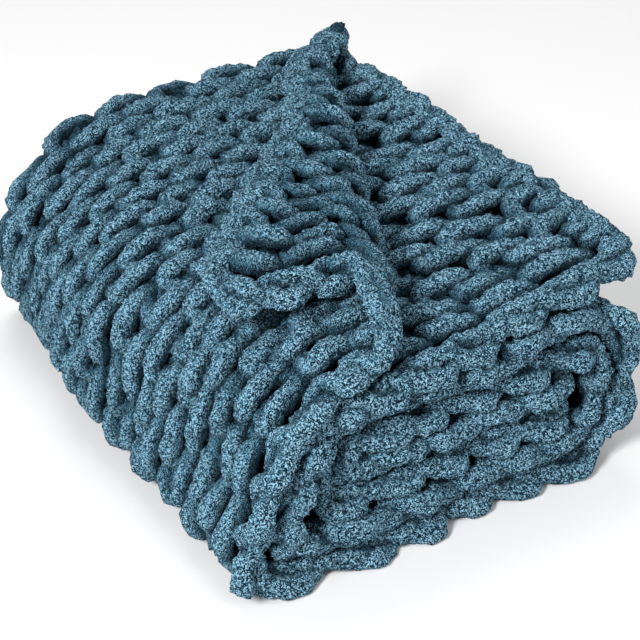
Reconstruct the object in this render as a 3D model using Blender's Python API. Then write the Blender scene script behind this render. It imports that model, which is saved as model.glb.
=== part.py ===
"""A chunky knit blanket, doubled once and then folded into a stack, with one corner turned back.

Metres, +Z up. X runs along the ribs, from the round fold at the left to the free end at the
right. Y runs across the ribs, from the two near edges to the far loop that joins the layers.
The origin is the middle of the footprint, on the flat underside.

The cloth is one closed body. Its section across the ribs is a long flat U, the upper layer,
the far loop and the lower layer. That section follows the line of the stack: along the top,
round the left fold, along the bottom, round the right fold, back through the middle, round
the tight inner fold, and to the hidden end.
"""

import bpy
import numpy as np

NAME = "chunky_knit_blanket"
NODE = "blanket"

# The cloth
LAYER_PITCH = 0.0258
LAYER_HALF = 0.0111
RIB_COUNT = 21
RIB_PITCH = 0.0243
RIB_RISE = 0.0024
WIDTH = RIB_COUNT * RIB_PITCH
LOOP = np.pi * LAYER_PITCH / 2

# Where the near edges lie; a zone is where a change starts and the length over which it grows
NEAR_Y = -0.014
NEAR_Y_RIGHT = 0.0
RIGHT_ZONE = (0.50, 0.25)
LOWER_CORNER_Y = 0.016
LOWER_CORNER_ZONE = (0.30, -0.30)
LOWER_ROUND_SHARE = 0.4
EDGE_WANDER = 0.003
UPPER_WAVE = (29.0, 0.5)
LOWER_WAVE = (37.0, 2.0)
CORNER_ROUND = 0.026
CORNER_ZONE = (0.055, -0.055)

# The line of the stack, at the middle of the doubled cloth
LEVEL = 2 * LAYER_PITCH
END_X = 0.368
LEFT_X = 0.070
RIGHT_X = 0.288
INNER_X = 0.078
HIDDEN_END_X = 0.296
RUNS = (
    # straight length, radius of the turn after it, stations along the straight, along the turn
    (END_X - LEFT_X, 1.5 * LEVEL, 16, 9),
    (RIGHT_X - LEFT_X, 1.0 * LEVEL, 4, 7),
    (RIGHT_X - INNER_X, 0.5 * LEVEL, 3, 5),
    (HIDDEN_END_X - INNER_X, 0.0, 3, 0),
)
SOLE_Z = LAYER_PITCH / 2 - LAYER_HALF
SOLE_MARGIN = 0.05
SOLE_BLEND = 0.03

# The corner of the upper layer that is turned back
CREASE_NEAR = (0.090, 0.0)
CREASE_FAR = (0.322, WIDTH)
CREASE_RADIUS = 0.0180
CREASE_THINNING = 0.0060
THIN_ZONE = (0.22, 0.25)
FLAP_LIFT = 0.012
FLAP_LIFT_ZONE = (0.015, 0.075)
CREASE_FADE_ZONE = (WIDTH - 0.070, 0.070)
SKEW = 0.070
SKEW_ZONE = (0.50, -0.50)
SHEAR = 0.17
SHEAR_ZONE = (0.0, 0.05)
DRAWN_IN = 0.060
DRAWN_UNDER = 0.018
DRAWN_AT = 0.078
DRAWN_SPAN = 0.050
DRAWN_ZONE = (0.20, -0.20)

# How the stack sits: shares of its height, then moves in metres
SLUMP = 0.10
LEFT_ZONE = (0.16, -0.18)
FAR_SLUMP = 0.035
FAR_ZONE = (0.22, 0.30)
PUFF = 0.140
PUFF_ZONE = (0.17, 0.15)
PUFF_NEAR_ZONE = (0.52, -0.35)
PUFF_FAR_SHARE = 0.15
FAR_CORNER_LIFT = 0.085
FAR_CORNER_X = (0.315, 0.055)
FAR_CORNER_Y = (0.22, 0.16)
SWELLS = (
    # height, per metre of x, per metre of y, phase
    (0.012, 7.0, 11.0, 0.0),
    (0.010, -9.0, 23.0, 1.0),
)
FOOT_SPREAD = 0.040
FOOT_ZONE = (0.15, -0.13)
FOOT_HEIGHT = (0.11, -0.11)
FOOT_FAR_LOSS = 0.50
NEAR_TUCK = 0.012
NEAR_ZONE = (0.30, -0.30)
TUCK_ZONE = (0.10, -0.10)
TUCK_HEIGHT = (0.02, 0.06)
FAR_ROUND = 0.042
ROUND_ZONE = (0.13, -0.17)
FLARE = 0.009
FLARE_ZONE = (0.24, 0.11)
FLARE_HEIGHT = (0.05, 0.08)
SWAYS = (
    # reach in x, per metre of y, phase
    (0.0040, 13.0, 0.6),
    (0.0024, 31.0, 2.0),
)
SWAY_ZONE = (0.30, -0.20)
SWAY_HEIGHT = (0.0, 0.08)
SWAY_BACK = (0.0020, 17.0, 0.4)

# The closed outline across the cloth: its rounded near edges, and points on each stretch of it
NORMAL_STEP = 1e-4
EDGE_REACH = 0.35 * LAYER_HALF
EDGE_SIDE = 0.45
LOOP_OUTSIDE = 5
LOOP_INSIDE = 4
LOWER_INSIDE = 8
UPPER_UNDERSIDE = 19


def smooth(t):
    """A soft step from 0 at t = 0 to 1 at t = 1."""
    t = np.clip(t, 0.0, 1.0)
    return t * t * (3.0 - 2.0 * t)


def grown(value, zone):
    """How much of a change has grown at a value: 0 before its zone, 1 past it."""
    start, span = zone
    return smooth((value - start) / span)


def stack_line(s):
    """The point in XZ, and the outward normal, at the distance s along the stack."""
    s = np.asarray(s, float)
    x, z = np.zeros_like(s), np.zeros_like(s)
    turned = np.zeros_like(s)
    start, at_x, at_z, heading = 0.0, END_X, 3.5 * LEVEL, np.pi
    for length, radius, _, _ in RUNS:
        along = np.clip(s - start, 0.0 if start else None, length if radius else None)
        here = s >= start if start else np.full(s.shape, True)
        x = np.where(here, at_x + np.cos(heading) * along, x)
        z = np.where(here, at_z, z)
        turned = np.where(here, heading, turned)
        start += length
        at_x += np.cos(heading) * length
        if not radius:
            break
        angle = np.clip((s - start) / radius, 0.0, np.pi)
        round_here = s > start
        x = np.where(round_here, at_x + radius * (np.sin(heading + angle) - np.sin(heading)), x)
        z = np.where(round_here, at_z - radius * (np.cos(heading + angle) - np.cos(heading)), z)
        turned = np.where(round_here, heading + angle, turned)
        start += np.pi * radius
        at_z -= radius * (np.cos(heading + np.pi) - np.cos(heading))
        heading += np.pi
    return x, z, np.sin(turned), -np.cos(turned)


def near_edges(s):
    """Where the near edges of the upper and the lower layer lie, uneven along the stack."""
    base = NEAR_Y + (NEAR_Y_RIGHT - NEAR_Y) * grown(s, RIGHT_ZONE)
    corner = CORNER_ROUND * grown(s, CORNER_ZONE)
    upper = base + corner + EDGE_WANDER * np.sin(UPPER_WAVE[0] * s + UPPER_WAVE[1])
    short = (LOWER_CORNER_Y - NEAR_Y) * grown(s, LOWER_CORNER_ZONE) + LOWER_ROUND_SHARE * corner
    lower = base + short + EDGE_WANDER * np.sin(LOWER_WAVE[0] * s + LOWER_WAVE[1])
    return upper, lower


def across(s, v):
    """The Y and the height over the doubled cloth's middle, at the distance v across it."""
    half = LAYER_PITCH / 2
    near_upper, near_lower = near_edges(s)
    back = 2 * WIDTH + LOOP - v
    angle = np.clip((v - WIDTH) / half, 0.0, np.pi)
    y = WIDTH + half * np.sin(angle)
    y = np.where(v < WIDTH, near_upper + v * (WIDTH - near_upper) / WIDTH, y)
    y = np.where(v > WIDTH + LOOP, near_lower + back * (WIDTH - near_lower) / WIDTH, y)
    return y, half * np.cos(angle)


def skewed(s, v):
    """The upper layer lies a little askew, so its corner starts short of the lower one."""
    share = 1.0 - np.clip(v / WIDTH, 0.0, 1.0) ** 3
    return s + SKEW * share * grown(s, SKEW_ZONE)


def turn_back(p, v):
    """Rolls the corner of the upper layer up and over the slanting crease."""
    start = np.array(CREASE_NEAR)
    run = np.array(CREASE_FAR) - start
    run /= np.linalg.norm(run)
    side = np.array([run[1], -run[0]])
    flat = p[..., :2] - start
    beyond = flat @ side
    along = flat @ run
    pull = np.exp(-((beyond - DRAWN_AT) / DRAWN_SPAN) ** 2) * smooth(beyond / DRAWN_AT)
    pull = pull * grown(v, DRAWN_ZONE)
    beyond = beyond - DRAWN_UNDER * pull
    fade = 1.0 - grown(v, CREASE_FADE_ZONE)
    along = along + DRAWN_IN * pull - fade * SHEAR * beyond * grown(beyond, SHEAR_ZONE)
    radius = CREASE_RADIUS - CREASE_THINNING * grown(v, THIN_ZONE)
    angle = np.clip(beyond / radius, 0.0, np.pi)
    rest = np.maximum(beyond - angle * radius, 0.0)
    reach = radius * np.sin(angle) + rest * np.cos(angle)
    reach = beyond + fade * (reach - beyond)
    rise = radius * (1.0 - np.cos(angle)) + rest * np.sin(angle)
    rise = fade * (rise + FLAP_LIFT * grown(rest, FLAP_LIFT_ZONE))
    rolled = p.copy()
    rolled[..., 0] = start[0] + run[0] * along + side[0] * reach
    rolled[..., 1] = start[1] + run[1] * along + side[1] * reach
    rolled[..., 2] = p[..., 2] + rise
    turned = (beyond > 0.0) & (fade > 0.0) & (v < WIDTH + LOOP / 2)
    return np.where(turned[..., None], rolled, p)


def middle(s, v):
    """The middle surface of the folded cloth, before it settles."""
    layer_s = skewed(s, v)
    x, z, out_x, out_z = stack_line(layer_s)
    y, height = across(s, v)
    p = np.stack([x + out_x * height, y, z + out_z * height], axis=-1)
    on_top = layer_s < RUNS[0][0]
    return np.where(on_top[..., None], turn_back(p, v), p)


def heights(x, y):
    """How high the stack stands at a spot, as a share of its height as folded."""
    puff = PUFF * grown(x, PUFF_ZONE)
    puff = puff * (PUFF_FAR_SHARE + (1.0 - PUFF_FAR_SHARE) * grown(y, PUFF_NEAR_ZONE))
    lift = FAR_CORNER_LIFT * grown(x, FAR_CORNER_X) * grown(y, FAR_CORNER_Y)
    swell = sum(tall * np.sin(kx * x + ky * y + phase) for tall, kx, ky, phase in SWELLS)
    slump = SLUMP * grown(x, LEFT_ZONE) + FAR_SLUMP * grown(y, FAR_ZONE)
    return 1.0 - slump + puff + lift + swell


def settle(p):
    """The stack slumps and spreads at the left, puffs at the right and sways a little."""
    x, y, z = p[..., 0], p[..., 1], p[..., 2] - SOLE_Z
    far = grown(y, FAR_ZONE)
    foot = FOOT_SPREAD * grown(z, FOOT_HEIGHT) * grown(x, FOOT_ZONE) * (1.0 - FOOT_FAR_LOSS * far)
    tuck = NEAR_TUCK * grown(y, NEAR_ZONE) * grown(x, TUCK_ZONE) * grown(z, TUCK_HEIGHT)
    sway = sum(reach * np.sin(ky * y + phase) for reach, ky, phase in SWAYS)
    sway = sway * grown(z, SWAY_HEIGHT) * grown(x, SWAY_ZONE)
    round_off = FAR_ROUND * grown(x, ROUND_ZONE) * far
    sway_y = SWAY_BACK[0] * np.sin(SWAY_BACK[1] * x + SWAY_BACK[2])
    flare = FLARE * grown(x, FLARE_ZONE) * grown(z, FLARE_HEIGHT)
    moved = x - foot + tuck + sway + flare
    return np.stack([moved, y - round_off + sway_y, z * heights(x, y)], axis=-1)


def cloth_point(s, v, off):
    """The settled point at s along the stack and v across it, off above the middle surface."""
    along = middle(s + NORMAL_STEP, v) - middle(s - NORMAL_STEP, v)
    over = middle(s, v + NORMAL_STEP) - middle(s, v - NORMAL_STEP)
    normal = np.cross(over, along)
    normal /= np.linalg.norm(normal, axis=-1, keepdims=True)
    return settle(middle(s, v) + normal * off[..., None])


def stations():
    """Distances along the stack: close together on the turned corner and round each fold."""
    found = [0.0]
    for length, radius, straight_steps, turn_steps in RUNS:
        start = found[-1]
        found += list(start + length * np.arange(1, straight_steps + 1) / straight_steps)
        if turn_steps:
            start = found[-1]
            found += list(start + np.pi * radius * np.arange(1, turn_steps + 1) / turn_steps)
    return np.array(found)


def ribbed(first, last):
    """Two points a rib, one on its crest and one in the groove after it."""
    count = 2 * RIB_COUNT
    v = np.linspace(first, last, count + 1)
    rise = np.where(np.arange(count + 1) % 2 == 1, RIB_RISE, -RIB_RISE)
    return [(a, b) for a, b in zip(v, rise)]


def section():
    """The closed outline of the doubled cloth: distance across, side of the layer, rib rise."""
    end = 2 * WIDTH + LOOP
    rows = [(v, 1.0, rise) for v, rise in ribbed(0.0, WIDTH)]
    rows += [(WIDTH + LOOP * k / LOOP_OUTSIDE, 1.0, 0.0) for k in range(1, LOOP_OUTSIDE)]
    rows += [(v, 1.0, 0.0) for v in np.linspace(WIDTH + LOOP, end, LOWER_INSIDE)]
    rows += [(end + EDGE_REACH, EDGE_SIDE, 0.0), (end + EDGE_REACH, -EDGE_SIDE, 0.0)]
    rows += [(v, -1.0, -rise) for v, rise in reversed(ribbed(WIDTH + LOOP, end))]
    rows += [(WIDTH + LOOP * k / LOOP_INSIDE, -1.0, 0.0) for k in range(LOOP_INSIDE - 1, 0, -1)]
    rows += [(v, -1.0, 0.0) for v in np.linspace(WIDTH, 0.0, UPPER_UNDERSIDE)]
    rows += [(-EDGE_REACH, -EDGE_SIDE, 0.0), (-EDGE_REACH, EDGE_SIDE, 0.0)]
    table = np.array(rows)
    return table[:, 0], table[:, 1], table[:, 2]


def flat_share(s):
    """1 where the cloth lies on its flat underside, 0 elsewhere."""
    start = RUNS[0][0] + np.pi * RUNS[0][1] - SOLE_MARGIN
    end = start + RUNS[1][0] + 2 * SOLE_MARGIN
    return grown(s, (start, SOLE_BLEND)) * grown(s, (end, -SOLE_BLEND))


def build_blanket(collection):
    s = stations()[:, None]
    v, side, rise = section()
    off = side * LAYER_HALF + rise * (1.0 - flat_share(s))
    points = cloth_point(s + 0.0 * v, v + 0.0 * s, off)
    low, high = points.min(axis=(0, 1)), points.max(axis=(0, 1))
    points[..., :2] -= (low[:2] + high[:2]) / 2
    rows, columns = points.shape[:2]
    faces = []
    for row in range(rows - 1):
        for column in range(columns):
            after = (column + 1) % columns
            here, there = row * columns, (row + 1) * columns
            faces.append((here + column, here + after, there + after, there + column))
    faces.append(tuple(reversed(range(columns))))
    faces.append(tuple((rows - 1) * columns + column for column in range(columns)))
    mesh = bpy.data.meshes.new(NODE)
    mesh.from_pydata(points.reshape(-1, 3).tolist(), [], faces)
    mesh.update()
    blanket = bpy.data.objects.new(NODE, mesh)
    collection.objects.link(blanket)
    mesh.materials.append(chenille())
    mesh.shade_smooth()
    return blanket


def chenille():
    """Soft matt teal yarn."""
    material = bpy.data.materials.new("teal_chenille")
    material.use_nodes = True
    shader = material.node_tree.nodes["Principled BSDF"]
    shader.inputs["Base Color"].default_value = (0.045, 0.130, 0.190, 1.0)
    shader.inputs["Roughness"].default_value = 0.95
    shader.inputs["Metallic"].default_value = 0.0
    return material


def clear_scene():
    for thing in list(bpy.data.objects):
        bpy.data.objects.remove(thing, do_unlink=True)


def main():
    clear_scene()
    collection = bpy.data.collections.new(NAME)
    bpy.context.scene.collection.children.link(collection)
    build_blanket(collection)


main()
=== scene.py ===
"""The looks of the folded chunky knit blanket: every stitch as its own length of chenille yarn.

The cloth is laid out flat first, with s along the stack, v across it and off above its middle
surface. The knitting is worked out there, stitch by stitch, and cloth_point then folds it, with
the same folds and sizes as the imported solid.
"""

import math

import bpy
import numpy as np
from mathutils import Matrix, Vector


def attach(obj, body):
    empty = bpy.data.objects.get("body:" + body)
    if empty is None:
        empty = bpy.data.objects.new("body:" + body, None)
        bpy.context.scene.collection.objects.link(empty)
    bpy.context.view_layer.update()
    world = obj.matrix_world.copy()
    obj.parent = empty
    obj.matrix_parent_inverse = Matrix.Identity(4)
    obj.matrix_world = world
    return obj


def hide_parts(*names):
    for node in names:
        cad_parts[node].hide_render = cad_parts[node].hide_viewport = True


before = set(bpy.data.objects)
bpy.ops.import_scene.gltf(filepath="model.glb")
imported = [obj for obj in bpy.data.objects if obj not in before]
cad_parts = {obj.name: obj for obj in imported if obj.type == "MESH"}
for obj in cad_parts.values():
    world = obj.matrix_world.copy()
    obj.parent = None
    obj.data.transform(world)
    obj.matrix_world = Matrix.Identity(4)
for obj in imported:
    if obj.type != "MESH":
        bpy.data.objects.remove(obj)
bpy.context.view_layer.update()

# The cloth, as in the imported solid
LAYER_PITCH = 0.0258
LAYER_HALF = 0.0111
RIB_COUNT = 21
RIB_PITCH = 0.0243
WIDTH = RIB_COUNT * RIB_PITCH
LOOP = np.pi * LAYER_PITCH / 2
ACROSS = 2 * WIDTH + LOOP

# Where the near edges lie; a zone is where a change starts and the length over which it grows
NEAR_Y = -0.014
NEAR_Y_RIGHT = 0.0
RIGHT_ZONE = (0.50, 0.25)
LOWER_CORNER_Y = 0.016
LOWER_CORNER_ZONE = (0.30, -0.30)
LOWER_ROUND_SHARE = 0.4
EDGE_WANDER = 0.003
UPPER_WAVE = (29.0, 0.5)
LOWER_WAVE = (37.0, 2.0)
CORNER_ROUND = 0.026
CORNER_ZONE = (0.055, -0.055)

# The line of the stack, at the middle of the doubled cloth
LEVEL = 2 * LAYER_PITCH
END_X = 0.368
LEFT_X = 0.070
RIGHT_X = 0.288
INNER_X = 0.078
HIDDEN_END_X = 0.296
RUNS = (
    # straight length, radius of the turn after it
    (END_X - LEFT_X, 1.5 * LEVEL),
    (RIGHT_X - LEFT_X, 1.0 * LEVEL),
    (RIGHT_X - INNER_X, 0.5 * LEVEL),
    (HIDDEN_END_X - INNER_X, 0.0),
)
STACK_LENGTH = sum(length + np.pi * radius for length, radius in RUNS)
TOP_LENGTH = RUNS[0][0]
SOLE_START = TOP_LENGTH + np.pi * RUNS[0][1]
SOLE_END = SOLE_START + RUNS[1][0]
RIGHT_TURN_END = SOLE_END + np.pi * RUNS[1][1]
SOLE_Z = LAYER_PITCH / 2 - LAYER_HALF

# The corner of the upper layer that is turned back
CREASE_NEAR = (0.090, 0.0)
CREASE_FAR = (0.322, WIDTH)
CREASE_RADIUS = 0.0180
CREASE_THINNING = 0.0060
THIN_ZONE = (0.22, 0.25)
FLAP_LIFT = 0.012
FLAP_LIFT_ZONE = (0.015, 0.075)
CREASE_FADE_ZONE = (WIDTH - 0.070, 0.070)
SKEW = 0.070
SKEW_ZONE = (0.50, -0.50)
SHEAR = 0.17
SHEAR_ZONE = (0.0, 0.05)
DRAWN_IN = 0.060
DRAWN_UNDER = 0.018
DRAWN_AT = 0.078
DRAWN_SPAN = 0.050
DRAWN_ZONE = (0.20, -0.20)

# How the stack sits: shares of its height, then moves in metres
SLUMP = 0.10
LEFT_ZONE = (0.16, -0.18)
FAR_SLUMP = 0.035
FAR_ZONE = (0.22, 0.30)
PUFF = 0.140
PUFF_ZONE = (0.17, 0.15)
PUFF_NEAR_ZONE = (0.52, -0.35)
PUFF_FAR_SHARE = 0.15
FAR_CORNER_LIFT = 0.085
FAR_CORNER_X = (0.315, 0.055)
FAR_CORNER_Y = (0.22, 0.16)
SWELLS = (
    # height, per metre of x, per metre of y, phase
    (0.012, 7.0, 11.0, 0.0),
    (0.010, -9.0, 23.0, 1.0),
)
FOOT_SPREAD = 0.040
FOOT_ZONE = (0.15, -0.13)
FOOT_HEIGHT = (0.11, -0.11)
FOOT_FAR_LOSS = 0.50
NEAR_TUCK = 0.012
NEAR_ZONE = (0.30, -0.30)
TUCK_ZONE = (0.10, -0.10)
TUCK_HEIGHT = (0.02, 0.06)
FAR_ROUND = 0.042
ROUND_ZONE = (0.13, -0.17)
FLARE = 0.009
FLARE_ZONE = (0.24, 0.11)
FLARE_HEIGHT = (0.05, 0.08)
SWAYS = (
    # reach in x, per metre of y, phase
    (0.0040, 13.0, 0.6),
    (0.0024, 31.0, 2.0),
)
SWAY_ZONE = (0.30, -0.20)
SWAY_HEIGHT = (0.0, 0.08)
SWAY_BACK = (0.0020, 17.0, 0.4)

NORMAL_STEP = 1e-4
FOOTPRINT_STEPS = 240
FLOOR_SOFT = 0.003

# The knitting: rows of bumps a rib apart, each the feet or the heads of a course's stitches
YARN_RADIUS = 0.0098
STITCHES = 24
WALE = STACK_LENGTH / STITCHES
COURSES = RIB_COUNT
EDGE_ROW = 0.0085
ROW = (ACROSS - 2 * EDGE_ROW) / (2 * COURSES + 1)
BULGE = 0.0185
FLATTEN = 0.15
TILT = 0.0022
DEPTH = 0.0064
DEPTH_TILT = 0.0048
HIDDEN_DEPTH = 0.0045
SUNK = 0.0025
OFF_KNOTS = 0.7

# Its unevenness from stitch to stitch, as spreads, and the slower drift of hand knitting
WANDER_ALONG = 0.0020
WANDER_ACROSS = 0.0013
WANDER_OFF = 0.0008
TALL_SPREAD = 0.045
WIDE_SPREAD = 0.12
DEEP_SPREAD = 0.18
PLUMP_SPREAD = 0.035
PLUMP_AT_TOP = 0.06
DRIFT_ALONG = (
    # reach, per metre of s, per metre of v, phase
    (0.0035, 21.0, 17.0, 0.4),
    (0.0025, -33.0, 47.0, 0.0),
)
DRIFT_ACROSS = (
    (0.0030, 26.0, -9.0, 1.1),
    (0.0022, 52.0, 31.0, 0.0),
)
DRIFT_MARGIN = 0.06

# The yarn near the cloth's ends, its rings and its pile
END_KEEP = 0.004
END_SOFT = 0.005
END_REACH = 0.020
END_THINNING = 0.25
FINE_STEPS = 52
FINE_SIDES = 18
COARSE_EVERY = 3
COARSE_SIDES = 8
# The painted shade on the yarn's end caps, as a share of full light
CAP_PAINTED_LIGHT_SHARE = 0.5
CROWDING_STEP = 0.004
CROWDING_LIMITS = (0.66, 1.04)
PILE_ROUGHNESS = 0.115
LUMPS = 0.055
SQUASH = 0.92
FLAP_RELIEF = 1.45
FLAP_THINNING = 0.12
TURNED_ZONE = (0.010, 0.025)
TURNED_END_ZONE = (TOP_LENGTH, -0.05)

# Painted shade, by how open to the light the yarn lies: heights over the cloth's middle, and the
# flanks' share
SHADE_LOW = 0.0030
SHADE_HIGH = 0.0135
FLANK_REACH = 0.40
FLANK_SHADE = 0.30

# Where the yarn shows, and is swept finely
FRONT_SHOWN = 0.31
TURN_SHOWN = 0.02
LOOP_COURSES = 1.6

# A thin near-black sheet at the cloth's middle: painted shade seen in the gaps between the stitches
SHADE_SHEET_DEPTH = 0.0075
SHADE_SHEET_HALF = 0.0012
SHADE_SHEET_INSET = 0.012
SHADE_SHEET_STEPS = (150, 100)

# The chain along the edges
BORDER_RADIUS = 0.0092
BORDER_INSET = 0.0050
BORDER_CORNER = 0.014
BORDER_CORNER_STEPS = 8
BORDER_SWING = 0.0070
BORDER_SLANTS = (1.0, 0.5, 0.2)
BORDER_RISE = 0.0048
BORDER_RISE_LEAD = 0.6
BORDER_UNEVEN = 0.25
BORDER_WANDER = 0.0010
BORDER_WANDER_OFF = 0.0012
BORDER_PLUMP_SPREAD = 0.06
BORDER_PLUMP_OUTSIDE = 0.05
BORDER_LEAD = 0.098
BORDER_PER_METRE = 340
BORDER_SIDES = 18
# Painted shade on the edge chain, darker close to its middle line: distances from that line
EDGE_SHADE_LOW = 0.0060
EDGE_SHADE_HIGH = 0.0125

# The pile's colours: painted shade between its crumbs, the yarn's own teal, and painted highlights
# at their tips; and its sheen
PILE_SHADES = ((0.000, 0.002, 0.005), (0.032, 0.108, 0.180), (0.340, 0.600, 0.760))
PILE_SHEEN = 0.30
# Near-black painted shade for the sheet inside the cloth, seen in the gaps between the stitches
SHADE_SHEET_COLOURS = ((0.002, 0.006, 0.012), (0.004, 0.012, 0.022), (0.012, 0.030, 0.050))
SHADE_SHEET_SHEEN = 0.0
SHADE_STOPS = (0.43, 0.49, 0.56)
ROUGHNESS = 0.95
SPECULAR = 0.05
SHEEN_ROUGHNESS = 0.4
SHEEN_TINT = (0.20, 0.58, 0.85, 1.0)
# The darkest share left by the painted shade, deep between the stitches
GAP_SHADE = 0.03

# Its crumbs, fibres and tufts, per metre, and how they are mixed
CRUMB_SCALE = 360.0
FIBRE_SCALE = 960.0
TUFT_SCALE = 170.0
CRUMB_WEIGHT = -0.45
FIBRE_LIFT = 0.2
TUFT_WEIGHT = 1.8
PILE_HEIGHT = 0.0060

# The studio: lights as name, place, size and power
LIGHTS = (
    ("key", (-2.0, -1.4, 1.9), 0.7, 120.0),
    ("fill", (1.9, -2.2, 1.3), 1.6, 42.0),
    ("top", (0.3, 1.2, 2.8), 1.8, 40.0),
)
LIGHTS_AIM = (0.0, 0.0, 0.1)
FLOOR_SIZE = 12.0
FLOOR_SHADE = 0.68
FLOOR_ROUGHNESS = 0.9
SKY_STRENGTH = 0.42

# The camera, in the frame in which the folds are worked out
EYE = (-0.5233, -0.9831, 0.960)
EYE_DOWN = math.radians(32.3)
EYE_TURN = math.radians(30.3)
LENS = 101.8
SENSOR_WIDTH = 36.0

RANDOM = np.random.default_rng(7)


def smooth(t):
    """A soft step from 0 at t = 0 to 1 at t = 1."""
    t = np.clip(t, 0.0, 1.0)
    return t * t * (3.0 - 2.0 * t)


def grown(value, zone):
    """How much of a change has grown at a value: 0 before its zone, 1 past it."""
    start, span = zone
    return smooth((value - start) / span)


def stack_line(s):
    """The point in XZ, and the outward normal, at the distance s along the stack."""
    s = np.asarray(s, float)
    x, z = np.zeros_like(s), np.zeros_like(s)
    turned = np.zeros_like(s)
    start, at_x, at_z, heading = 0.0, END_X, 3.5 * LEVEL, np.pi
    for length, radius in RUNS:
        along = np.clip(s - start, 0.0 if start else None, length if radius else None)
        here = s >= start if start else np.full(s.shape, True)
        x = np.where(here, at_x + np.cos(heading) * along, x)
        z = np.where(here, at_z, z)
        turned = np.where(here, heading, turned)
        start += length
        at_x += np.cos(heading) * length
        if not radius:
            break
        angle = np.clip((s - start) / radius, 0.0, np.pi)
        round_here = s > start
        x = np.where(round_here, at_x + radius * (np.sin(heading + angle) - np.sin(heading)), x)
        z = np.where(round_here, at_z - radius * (np.cos(heading + angle) - np.cos(heading)), z)
        turned = np.where(round_here, heading + angle, turned)
        start += np.pi * radius
        at_z -= radius * (np.cos(heading + np.pi) - np.cos(heading))
        heading += np.pi
    return x, z, np.sin(turned), -np.cos(turned)


def near_edges(s):
    """Where the near edges of the upper and the lower layer lie, uneven along the stack."""
    base = NEAR_Y + (NEAR_Y_RIGHT - NEAR_Y) * grown(s, RIGHT_ZONE)
    corner = CORNER_ROUND * grown(s, CORNER_ZONE)
    upper = base + corner + EDGE_WANDER * np.sin(UPPER_WAVE[0] * s + UPPER_WAVE[1])
    short = (LOWER_CORNER_Y - NEAR_Y) * grown(s, LOWER_CORNER_ZONE) + LOWER_ROUND_SHARE * corner
    lower = base + short + EDGE_WANDER * np.sin(LOWER_WAVE[0] * s + LOWER_WAVE[1])
    return upper, lower


def across(s, v):
    """The Y and the height over the doubled cloth's middle, at the distance v across it."""
    half = LAYER_PITCH / 2
    near_upper, near_lower = near_edges(s)
    back = 2 * WIDTH + LOOP - v
    angle = np.clip((v - WIDTH) / half, 0.0, np.pi)
    y = WIDTH + half * np.sin(angle)
    y = np.where(v < WIDTH, near_upper + v * (WIDTH - near_upper) / WIDTH, y)
    y = np.where(v > WIDTH + LOOP, near_lower + back * (WIDTH - near_lower) / WIDTH, y)
    return y, half * np.cos(angle)


def skewed(s, v):
    """The upper layer lies a little askew, so its corner starts short of the lower one."""
    share = 1.0 - np.clip(v / WIDTH, 0.0, 1.0) ** 3
    return s + SKEW * share * grown(s, SKEW_ZONE)


def turn_back(p, v):
    """Rolls the corner of the upper layer up and over the slanting crease."""
    start = np.array(CREASE_NEAR)
    run = np.array(CREASE_FAR) - start
    run /= np.linalg.norm(run)
    side = np.array([run[1], -run[0]])
    flat = p[..., :2] - start
    beyond = flat @ side
    along = flat @ run
    pull = np.exp(-((beyond - DRAWN_AT) / DRAWN_SPAN) ** 2) * smooth(beyond / DRAWN_AT)
    pull = pull * grown(v, DRAWN_ZONE)
    beyond = beyond - DRAWN_UNDER * pull
    fade = 1.0 - grown(v, CREASE_FADE_ZONE)
    along = along + DRAWN_IN * pull - fade * SHEAR * beyond * grown(beyond, SHEAR_ZONE)
    radius = CREASE_RADIUS - CREASE_THINNING * grown(v, THIN_ZONE)
    angle = np.clip(beyond / radius, 0.0, np.pi)
    rest = np.maximum(beyond - angle * radius, 0.0)
    reach = radius * np.sin(angle) + rest * np.cos(angle)
    reach = beyond + fade * (reach - beyond)
    rise = radius * (1.0 - np.cos(angle)) + rest * np.sin(angle)
    rise = fade * (rise + FLAP_LIFT * grown(rest, FLAP_LIFT_ZONE))
    rolled = p.copy()
    rolled[..., 0] = start[0] + run[0] * along + side[0] * reach
    rolled[..., 1] = start[1] + run[1] * along + side[1] * reach
    rolled[..., 2] = p[..., 2] + rise
    turned = (beyond > 0.0) & (fade > 0.0) & (v < WIDTH + LOOP / 2)
    return np.where(turned[..., None], rolled, p)


def middle(s, v):
    """The middle surface of the folded cloth, before it settles."""
    layer_s = skewed(s, v)
    x, z, out_x, out_z = stack_line(layer_s)
    y, height = across(s, v)
    p = np.stack([x + out_x * height, y, z + out_z * height], axis=-1)
    on_top = layer_s < RUNS[0][0]
    return np.where(on_top[..., None], turn_back(p, v), p)


def heights(x, y):
    """How high the stack stands at a spot, as a share of its height as folded."""
    puff = PUFF * grown(x, PUFF_ZONE)
    puff = puff * (PUFF_FAR_SHARE + (1.0 - PUFF_FAR_SHARE) * grown(y, PUFF_NEAR_ZONE))
    lift = FAR_CORNER_LIFT * grown(x, FAR_CORNER_X) * grown(y, FAR_CORNER_Y)
    swell = sum(tall * np.sin(kx * x + ky * y + phase) for tall, kx, ky, phase in SWELLS)
    slump = SLUMP * grown(x, LEFT_ZONE) + FAR_SLUMP * grown(y, FAR_ZONE)
    return 1.0 - slump + puff + lift + swell


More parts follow.
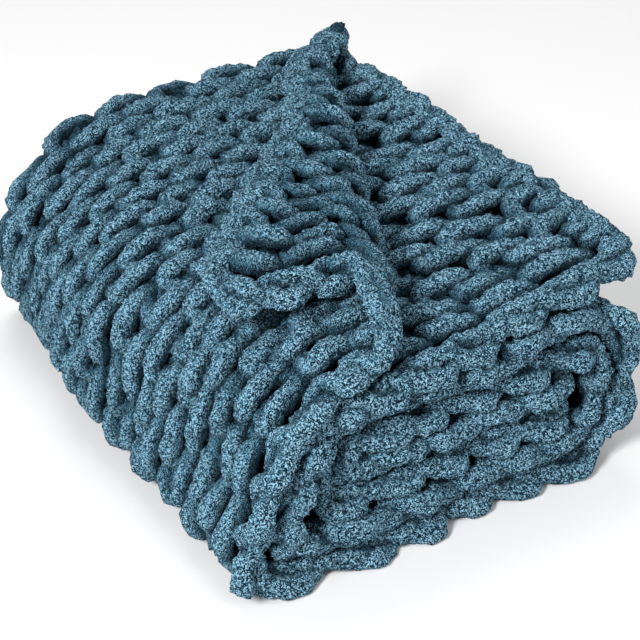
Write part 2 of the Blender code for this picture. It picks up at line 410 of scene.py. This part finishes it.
def settle(p):
    """The stack slumps and spreads at the left, puffs at the right and sways a little."""
    x, y, z = p[..., 0], p[..., 1], p[..., 2] - SOLE_Z
    far = grown(y, FAR_ZONE)
    foot = FOOT_SPREAD * grown(z, FOOT_HEIGHT) * grown(x, FOOT_ZONE) * (1.0 - FOOT_FAR_LOSS * far)
    tuck = NEAR_TUCK * grown(y, NEAR_ZONE) * grown(x, TUCK_ZONE) * grown(z, TUCK_HEIGHT)
    sway = sum(reach * np.sin(ky * y + phase) for reach, ky, phase in SWAYS)
    sway = sway * grown(z, SWAY_HEIGHT) * grown(x, SWAY_ZONE)
    round_off = FAR_ROUND * grown(x, ROUND_ZONE) * far
    sway_y = SWAY_BACK[0] * np.sin(SWAY_BACK[1] * x + SWAY_BACK[2])
    flare = FLARE * grown(x, FLARE_ZONE) * grown(z, FLARE_HEIGHT)
    moved = x - foot + tuck + sway + flare
    return np.stack([moved, y - round_off + sway_y, z * heights(x, y)], axis=-1)


def normal_at(s, v):
    """The middle surface's normal before it settles, on the outer side of the upper layer."""
    along = middle(s + NORMAL_STEP, v) - middle(s - NORMAL_STEP, v)
    over = middle(s, v + NORMAL_STEP) - middle(s, v - NORMAL_STEP)
    normal = np.cross(over, along)
    return normal / np.linalg.norm(normal, axis=-1, keepdims=True)


def cloth_point(s, v, off):
    """The settled point at s along the stack and v across it, off above the middle surface."""
    return settle(middle(s, v) + normal_at(s, v) * off[..., None])


def footprint_middle():
    """The middle of the solid's footprint, in the frame in which the folds are worked out."""
    s, v = np.meshgrid(
        np.linspace(0, STACK_LENGTH, FOOTPRINT_STEPS),
        np.linspace(0, ACROSS, FOOTPRINT_STEPS),
    )
    shell = [cloth_point(s, v, np.full(s.shape, side * LAYER_HALF)) for side in (-1, 1)]
    shell = np.array(shell).reshape(-1, 3)
    return (shell.min(axis=0)[:2] + shell.max(axis=0)[:2]) / 2


MIDDLE = footprint_middle()


def placed(p):
    """Moves points of the fold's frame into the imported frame, flat where they meet the floor."""
    p = p.copy()
    p[..., :2] -= MIDDLE
    z = p[..., 2]
    p[..., 2] = np.where(z < FLOOR_SOFT, FLOOR_SOFT * np.exp((z - FLOOR_SOFT) / FLOOR_SOFT), z)
    return p


def soft_noise(length, knots_apart, scale):
    """Smooth noise of the given length, with a new random value every knots_apart entries."""
    count = int(length / knots_apart) + 4
    knots = RANDOM.normal(0.0, scale, count)
    at = np.arange(length) / knots_apart
    low = at.astype(int)
    share = smooth(at - low)
    return knots[low] * (1.0 - share) + knots[low + 1] * share


def beyond_crease(s, v):
    """How far a spot of the upper layer lies past the slanting crease of the turned corner."""
    x, _, _, _ = stack_line(skewed(s, v))
    y, _ = across(s, v)
    run = np.array(CREASE_FAR) - np.array(CREASE_NEAR)
    run /= np.linalg.norm(run)
    return (x - CREASE_NEAR[0]) * run[1] - (y - CREASE_NEAR[1]) * run[0]


def turned_over(s, v):
    """1 on the corner that is turned over, 0 elsewhere."""
    return grown(beyond_crease(s, v), TURNED_ZONE) * grown(s, TURNED_END_ZONE) * (v < WIDTH)


def bump_side(s, v):
    """Which side the rows of bumps stand out on: 1 for the outer side of the upper layer."""
    lower = smooth((v - WIDTH - LOOP) / (2 * ROW))
    return 1.0 - np.maximum(2.0 * lower, (1.0 + FLAP_RELIEF) * turned_over(s, v))


def drift(s, v):
    """The slow unevenness of hand knitting: how far a spot has wandered along and across."""
    inner = smooth(v / DRIFT_MARGIN) * smooth((ACROSS - v) / DRIFT_MARGIN)
    return [
        inner * sum(reach * np.sin(ks * s + kv * v + phase) for reach, ks, kv, phase in waves)
        for waves in (DRIFT_ALONG, DRIFT_ACROSS)
    ]


def kept_inside(s):
    """Eases a path back before it passes the cloth's ends, where the border takes over."""
    low = s - END_KEEP
    low = END_KEEP + END_SOFT * np.logaddexp(0.0, low / END_SOFT)
    high = STACK_LENGTH - END_KEEP - low
    return STACK_LENGTH - END_KEEP - END_SOFT * np.logaddexp(0.0, high / END_SOFT)


def course_path(index):
    """One course of stitches laid out flat: s, v and off along its yarn, and its plumpness."""
    foot = EDGE_ROW + ROW * max(2 * index, 1)
    head = EDGE_ROW + ROW * min(2 * index + 3, 2 * COURSES)
    middle_v, half = (foot + head) / 2, (head - foot) / 2
    steps = STITCHES * FINE_STEPS
    turn = np.linspace(0.0, 2 * np.pi * STITCHES, steps + 1)
    loop_knots = FINE_STEPS / 2
    tall = 1.0 + soft_noise(steps + 1, loop_knots, TALL_SPREAD)
    wide = 1.0 + soft_noise(steps + 1, loop_knots, WIDE_SPREAD)
    s = WALE * turn / (2 * np.pi) + BULGE * wide * np.sin(2 * turn)
    s = s + soft_noise(steps + 1, loop_knots, WANDER_ALONG)
    bend = (np.cos(turn) - FLATTEN * np.cos(3 * turn)) / (1.0 - FLATTEN)
    v = middle_v + half * tall * bend - TILT * np.sin(2 * turn)
    v = v + soft_noise(steps + 1, loop_knots, WANDER_ACROSS)
    along, over = drift(s, v)
    s, v = s + along, v + over
    s = kept_inside(s)
    deep = 1.0 + soft_noise(steps + 1, loop_knots, DEEP_SPREAD)
    dive = np.cos(2 * turn)
    off = np.where(dive > 0.0, DEPTH, HIDDEN_DEPTH) * deep * dive + DEPTH_TILT * np.sin(2 * turn)
    off = off + soft_noise(steps + 1, loop_knots * OFF_KNOTS, WANDER_OFF)
    plump = 1.0 + PLUMP_AT_TOP * dive + soft_noise(steps + 1, loop_knots, PLUMP_SPREAD)
    to_edge = np.minimum(s, STACK_LENGTH - s)
    plump = plump * (1.0 - END_THINNING * smooth((END_REACH - to_edge) / END_REACH))
    return s, v, (off - SUNK) * bump_side(s, v), plump


def lumps(rows, sides):
    """Soft unevenness over a tube's grid of points, wider than the grid's spacing."""
    grain = RANDOM.normal(0.0, 1.0, (rows, sides))
    for axis in (0, 1, 0, 1):
        grain = (np.roll(grain, 1, axis) + 2.0 * grain + np.roll(grain, -1, axis)) / 4.0
    return grain / grain.std()


def crowding(s, v):
    """How much the fold has drawn the rows together at a spot, or spread them."""
    level, step = np.zeros_like(s), CROWDING_STEP
    over = cloth_point(s, v + step, level) - cloth_point(s, v - step, level)
    along = cloth_point(s + step, v, level) - cloth_point(s - step, v, level)
    length = np.linalg.norm(along, axis=1)
    apart = np.linalg.norm(np.cross(over, along), axis=1) / length
    share = np.clip(apart / (2 * step), *CROWDING_LIMITS)
    return share * (1.0 - FLAP_THINNING * turned_over(s, v))


def tube(s, v, off, plump, radius, sides, swing=None):
    """A yarn swept along a path of the flat cloth, folded: its rings, and the painted shade of each
    point, by how open it lies.
    """
    centre = cloth_point(s, v, off)
    if swing is None:
        plump = plump * crowding(s, v)
    normal = normal_at(s, v)
    along = np.gradient(centre, axis=0)
    along /= np.linalg.norm(along, axis=1, keepdims=True)
    side = np.cross(along, normal)
    side /= np.linalg.norm(side, axis=1, keepdims=True)
    up = np.cross(side, along)
    angle = np.linspace(0.0, 2 * np.pi, sides, endpoint=False)
    twist = np.arange(len(s))[:, None] % 2 * np.pi / sides
    cos, sin = np.cos(angle + twist), np.sin(angle + twist)
    rough = RANDOM.normal(0.0, PILE_ROUGHNESS, (len(s), sides)) + LUMPS * lumps(len(s), sides)
    reach = radius * plump[:, None] * (1.0 + rough)
    points = centre[:, None] + (reach * cos)[..., None] * side[:, None]
    points = points + (SQUASH * reach * sin)[..., None] * up[:, None]
    height = off[:, None] + reach * sin
    # Painted shade: darker low between the stitches and on the flanks turned away from the outer
    # side
    if swing is None:
        relief = bump_side(s, v)[:, None]
        outer = np.clip(relief, -1.0, 1.0)
        flank = smooth((outer * sin + FLANK_REACH) / (1.0 + FLANK_REACH))
        height = height * outer / np.maximum(np.abs(relief), 1.0)
        painted_light_share = smooth((height - SHADE_LOW) / (SHADE_HIGH - SHADE_LOW))
        return placed(points), painted_light_share * (FLANK_SHADE + (1.0 - FLANK_SHADE) * flank)
    # Painted shade on the edge chain: darker close to its middle line
    from_core = np.hypot(swing[:, None] - reach * cos, height)
    return placed(points), smooth((from_core - EDGE_SHADE_LOW) / (EDGE_SHADE_HIGH - EDGE_SHADE_LOW))


class Yarns:
    """Gathers many swept yarns into one mesh object."""

    def __init__(self, name):
        self.name = name
        self.points = []
        self.shades = []
        self.quads = []
        self.caps = []
        self.count = 0

    def add(self, rings, painted_light_share):
        rows, sides = rings.shape[:2]
        start = self.count
        row, column = np.meshgrid(np.arange(rows - 1), np.arange(sides), indexing="ij")
        after = (column + 1) % sides
        quads = [row * sides + column, row * sides + after]
        quads += [(row + 1) * sides + after, (row + 1) * sides + column]
        self.quads.append(start + np.stack(quads, axis=-1).reshape(-1, 4))
        ends = np.array([rings[0].mean(axis=0), rings[-1].mean(axis=0)])
        self.points.append(np.concatenate([rings.reshape(-1, 3), ends]))
        self.shades.append(np.concatenate([painted_light_share.ravel(), [CAP_PAINTED_LIGHT_SHARE] * 2]))
        ring = np.arange(sides)
        after = (ring + 1) % sides
        last = (rows - 1) * sides
        first_cap = np.stack([np.full(sides, rows * sides), after, ring], axis=-1)
        last_cap = np.stack([np.full(sides, rows * sides + 1), last + ring, last + after], axis=-1)
        self.caps.append(start + np.concatenate([first_cap, last_cap]))
        self.count += rows * sides + 2

    def build(self, material):
        points = np.concatenate(self.points)
        quads = np.concatenate(self.quads)
        caps = np.concatenate(self.caps)
        mesh = bpy.data.meshes.new(self.name)
        mesh.vertices.add(len(points))
        mesh.vertices.foreach_set("co", points.astype(np.float32).ravel())
        corners = np.concatenate([quads.ravel(), caps.ravel()])
        mesh.loops.add(len(corners))
        mesh.loops.foreach_set("vertex_index", corners.astype(np.int32))
        sizes = np.concatenate([np.full(len(quads), 4), np.full(len(caps), 3)])
        starts = np.concatenate([[0], np.cumsum(sizes)[:-1]])
        mesh.polygons.add(len(sizes))
        mesh.polygons.foreach_set("loop_start", starts.astype(np.int32))
        mesh.update(calc_edges=True)
        mesh.validate()
        mesh.shade_smooth()
        # The painted shade, as a share of full light at each point
        painted_light_layer = mesh.attributes.new("painted_light_share", "FLOAT", "POINT")
        painted_light_layer.data.foreach_set("value", np.concatenate(self.shades).astype(np.float32))
        mesh.materials.append(material)
        made = bpy.data.objects.new(self.name, mesh)
        bpy.context.scene.collection.objects.link(made)
        return made


def texture(tree, kind, scale, detail=None):
    """The main output of a texture laid out in the object's own metres."""
    place = tree.nodes.new("ShaderNodeTexCoord")
    made = tree.nodes.new(kind)
    made.inputs["Scale"].default_value = scale
    if detail is not None:
        made.inputs["Detail"].default_value = detail
    tree.links.new(place.outputs["Object"], made.inputs["Vector"])
    return made.outputs[0]


def weighted(tree, value, weight, added):
    """The output of value times weight plus added, which is a number or another output."""
    made = tree.nodes.new("ShaderNodeMath")
    made.operation = "MULTIPLY_ADD"
    tree.links.new(value, made.inputs[0])
    made.inputs[1].default_value = weight
    if isinstance(added, float):
        made.inputs[2].default_value = added
    else:
        tree.links.new(added, made.inputs[2])
    return made.outputs[0]


def coloured(tree, pile, shades):
    """The colour of the pile, from painted shade between its crumbs through the yarn's own teal to
    painted highlights at their tips.
    """
    made = tree.nodes.new("ShaderNodeValToRGB")
    ramp = made.color_ramp
    ramp.elements.new(SHADE_STOPS[1])
    for element, stop, shade in zip(ramp.elements, SHADE_STOPS, shades):
        element.position = stop
        element.color = (*shade, 1.0)
    tree.links.new(pile, made.inputs["Fac"])
    return made.outputs["Color"]


def with_painted_shade(tree, colour):
    """The colour with painted shade, darker where the yarn lies deep between the stitches."""
    painted_light_share = tree.nodes.new("ShaderNodeAttribute")
    painted_light_share.attribute_name = "painted_light_share"
    share = tree.nodes.new("ShaderNodeMapRange")
    share.inputs["To Min"].default_value = GAP_SHADE
    tree.links.new(painted_light_share.outputs["Fac"], share.inputs["Value"])
    made = tree.nodes.new("ShaderNodeVectorMath")
    made.operation = "SCALE"
    tree.links.new(colour, made.inputs[0])
    tree.links.new(share.outputs[0], made.inputs["Scale"])
    return made.outputs[0]


def chenille(name, shades, sheen):
    """Plush yarn: crumbs of short pile, with painted shade between them, painted highlights at
    their tips and painted shade deep between the stitches.
    """
    material = bpy.data.materials.new(name)
    material.use_nodes = True
    tree = material.node_tree
    shader = tree.nodes["Principled BSDF"]
    shader.inputs["Roughness"].default_value = ROUGHNESS
    shader.inputs["Specular IOR Level"].default_value = SPECULAR
    shader.inputs["Sheen Weight"].default_value = sheen
    shader.inputs["Sheen Roughness"].default_value = SHEEN_ROUGHNESS
    shader.inputs["Sheen Tint"].default_value = SHEEN_TINT
    crumbs = texture(tree, "ShaderNodeTexVoronoi", CRUMB_SCALE)
    fibres = texture(tree, "ShaderNodeTexNoise", FIBRE_SCALE, 0.0)
    tufts = texture(tree, "ShaderNodeTexNoise", TUFT_SCALE, 1.0)
    pile = weighted(tree, crumbs, CRUMB_WEIGHT, weighted(tree, fibres, 1.0, FIBRE_LIFT))
    tree.links.new(with_painted_shade(tree, coloured(tree, pile, shades)), shader.inputs["Base Color"])
    bump = tree.nodes.new("ShaderNodeBump")
    bump.inputs["Strength"].default_value = 1.0
    bump.inputs["Distance"].default_value = PILE_HEIGHT
    tree.links.new(weighted(tree, tufts, TUFT_WEIGHT, pile), bump.inputs["Height"])
    tree.links.new(bump.outputs["Normal"], shader.inputs["Normal"])
    return material


def knit(material):
    """All courses of stitches, finer where they show and coarser inside the stack."""
    names = ("yarn_top_near", "yarn_top_far", "yarn_near_far", "yarn_near_close", "yarn_inside")
    *outside, inside = [Yarns(name) for name in names]
    far_course = COURSES / 2
    for index in range(COURSES):
        s, v, off, plump = course_path(index)
        at = np.linspace(0.0, STACK_LENGTH, len(s))
        edge = index < 1 or index >= COURSES - 1
        if index < far_course:
            shown = (at < SOLE_START) | ((at > SOLE_END) & (at < RIGHT_TURN_END + TURN_SHOWN))
        else:
            shown = at < FRONT_SHOWN
        if edge or abs(index - far_course) < LOOP_COURSES:
            shown = np.full(s.shape, True)
        for start, end, fine in spans(shown):
            step = 1 if fine else COARSE_EVERY
            part = slice(start, end + 1, step)
            sides = FINE_SIDES if fine else COARSE_SIDES
            swept = tube(s[part], v[part], off[part], plump[part], YARN_RADIUS, sides)
            target = outside[index * len(outside) // COURSES] if fine else inside
            target.add(*swept)
    return [yarns.build(material) for yarns in (*outside, inside)]


def spans(shown):
    """Runs of equal values in shown: first entry, last entry and the value."""
    changes = np.flatnonzero(np.diff(shown.astype(int))) + 1
    bounds = [0, *changes, len(shown)]
    return [(a, b, bool(shown[a])) for a, b in zip(bounds[:-1], bounds[1:])]


def border_path(strand):
    """One of the two strands that twist round each other along all four edges."""
    low_s, high_s = BORDER_INSET, STACK_LENGTH - BORDER_INSET
    low_v, high_v = BORDER_INSET, ACROSS - BORDER_INSET
    corners = [(low_s, low_v), (high_s, low_v), (high_s, high_v), (low_s, high_v)]
    points = []
    for number, (corner_s, corner_v) in enumerate(corners):
        mid_s = corner_s + BORDER_CORNER * (1 if number in (0, 3) else -1)
        mid_v = corner_v + BORDER_CORNER * (1 if number in (0, 1) else -1)
        for k in range(BORDER_CORNER_STEPS + 1):
            turn = np.pi * (1.0 + 0.5 * number) + k * np.pi / (2 * BORDER_CORNER_STEPS)
            ring = (np.cos(turn) * BORDER_CORNER, np.sin(turn) * BORDER_CORNER)
            points.append((mid_s + ring[0], mid_v + ring[1]))
    points.append(points[0])
    points = np.array(points)
    gaps = np.linalg.norm(np.diff(points, axis=0), axis=1)
    reach = np.concatenate([[0], np.cumsum(gaps)])
    at = np.linspace(0.0, reach[-1], int(reach[-1] * BORDER_PER_METRE))
    s = np.interp(at, reach, points[:, 0])
    v = np.interp(at, reach, points[:, 1])
    size = np.hypot(np.gradient(s), np.gradient(v))
    out_s, out_v = np.gradient(v) / size, -np.gradient(s) / size
    turns = round(reach[-1] / BORDER_LEAD)
    knots = BORDER_PER_METRE * BORDER_LEAD / 4
    turn = 2 * np.pi * turns * at / reach[-1] + strand * np.pi
    turn = turn + soft_noise(len(at), 2 * knots, BORDER_UNEVEN)
    wobble = soft_noise(len(at), knots, BORDER_WANDER)
    slant = sum(share * np.sin(order * turn) for order, share in enumerate(BORDER_SLANTS, 1))
    swing = wobble - BORDER_SWING * slant
    s = s + out_s * swing
    v = v + out_v * swing
    uneven = 1.0 + soft_noise(len(at), 2 * knots, BORDER_UNEVEN)
    rise = BORDER_RISE * uneven * np.cos(turn + BORDER_RISE_LEAD)
    plump = 1.0 + soft_noise(len(at), knots / 2, BORDER_PLUMP_SPREAD)
    plump = plump + BORDER_PLUMP_OUTSIDE * swing / BORDER_SWING
    return s, v, rise + soft_noise(len(at), knots, BORDER_WANDER_OFF), plump, swing


def border(material):
    """The chain of the cast-on, bind-off and side edges."""
    edge = Yarns("yarn_edge")
    for strand in (0, 1):
        s, v, off, plump, swing = border_path(strand)
        edge.add(*tube(s, v, off, plump, BORDER_RADIUS, BORDER_SIDES, swing))
    return edge.build(material)


def gap_shade_sheet(material):
    """A thin near-black sheet at the cloth's middle, which fills the gaps between the stitches with
    painted shade.
    """
    s_steps, v_steps = SHADE_SHEET_STEPS
    s, v = np.meshgrid(
        np.linspace(SHADE_SHEET_INSET, STACK_LENGTH - SHADE_SHEET_INSET, s_steps),
        np.linspace(SHADE_SHEET_INSET, ACROSS - SHADE_SHEET_INSET, v_steps),
        indexing="ij",
    )
    low = -SHADE_SHEET_DEPTH * bump_side(s, v)
    sides = [placed(cloth_point(s, v, low + off)) for off in (SHADE_SHEET_HALF, -SHADE_SHEET_HALF)]
    points = np.concatenate([side.reshape(-1, 3) for side in sides])
    count = s_steps * v_steps
    faces = []
    for a in range(s_steps - 1):
        for b in range(v_steps - 1):
            here = a * v_steps + b
            quad = (here, here + v_steps, here + v_steps + 1, here + 1)
            faces.append(quad)
            faces.append(tuple(count + corner for corner in reversed(quad)))
    rim = [a * v_steps for a in range(s_steps)]
    rim += [(s_steps - 1) * v_steps + b for b in range(1, v_steps)]
    rim += [a * v_steps + v_steps - 1 for a in range(s_steps - 2, -1, -1)]
    rim += list(range(v_steps - 2, 0, -1))
    for here, there in zip(rim, rim[1:] + rim[:1]):
        faces.append((there, here, count + here, count + there))
    mesh = bpy.data.meshes.new("painted_gap_shade")
    mesh.from_pydata(points.tolist(), [], faces)
    mesh.update()
    mesh.shade_smooth()
    mesh.materials.append(material)
    made = bpy.data.objects.new("painted_gap_shade", mesh)
    bpy.context.scene.collection.objects.link(made)
    return made


def set_camera():
    data = bpy.data.cameras.new("photo_camera")
    data.lens = LENS
    data.sensor_width = SENSOR_WIDTH
    camera = bpy.data.objects.new("photo_camera", data)
    bpy.context.scene.collection.objects.link(camera)
    camera.location = (EYE[0] - MIDDLE[0], EYE[1] - MIDDLE[1], EYE[2])
    camera.rotation_euler = (math.pi / 2 - EYE_DOWN, 0.0, -EYE_TURN)
    bpy.context.scene.camera = camera


def area_light(name, place, size, power):
    data = bpy.data.lights.new(name, "AREA")
    data.shape = "DISK"
    data.size = size
    data.energy = power
    light = bpy.data.objects.new(name, data)
    bpy.context.scene.collection.objects.link(light)
    light.location = place
    aim = Vector(LIGHTS_AIM) - Vector(place)
    light.rotation_euler = aim.to_track_quat("-Z", "Y").to_euler()


def studio():
    """A pale floor and soft light from above and both sides."""
    bpy.ops.mesh.primitive_plane_add(size=FLOOR_SIZE, location=(0.0, 0.0, 0.0))
    floor = bpy.context.object
    floor.name = "floor"
    paint = bpy.data.materials.new("floor_white")
    paint.use_nodes = True
    shader = paint.node_tree.nodes["Principled BSDF"]
    shader.inputs["Base Color"].default_value = (FLOOR_SHADE, FLOOR_SHADE, FLOOR_SHADE, 1.0)
    shader.inputs["Roughness"].default_value = FLOOR_ROUGHNESS
    floor.data.materials.append(paint)
    for name, place, size, power in LIGHTS:
        area_light(name, place, size, power)
    world = bpy.data.worlds.new("studio_world")
    world.use_nodes = True
    sky = world.node_tree.nodes["Background"]
    sky.inputs["Color"].default_value = (1.0, 1.0, 1.0, 1.0)
    sky.inputs["Strength"].default_value = SKY_STRENGTH
    bpy.context.scene.world = world
    bpy.context.scene.view_settings.view_transform = "Standard"


def main():
    set_camera()
    material = chenille("teal_pile", PILE_SHADES, PILE_SHEEN)
    # The near-black sheet paints the shade in the gaps between the stitches
    shade_sheet = gap_shade_sheet(chenille("teal_painted_gap_shade", SHADE_SHEET_COLOURS, SHADE_SHEET_SHEEN))
    yarns = [*knit(material), border(material)]
    for piece in (shade_sheet, *yarns):
        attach(piece, "root")
    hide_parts("blanket")
    studio()


main()
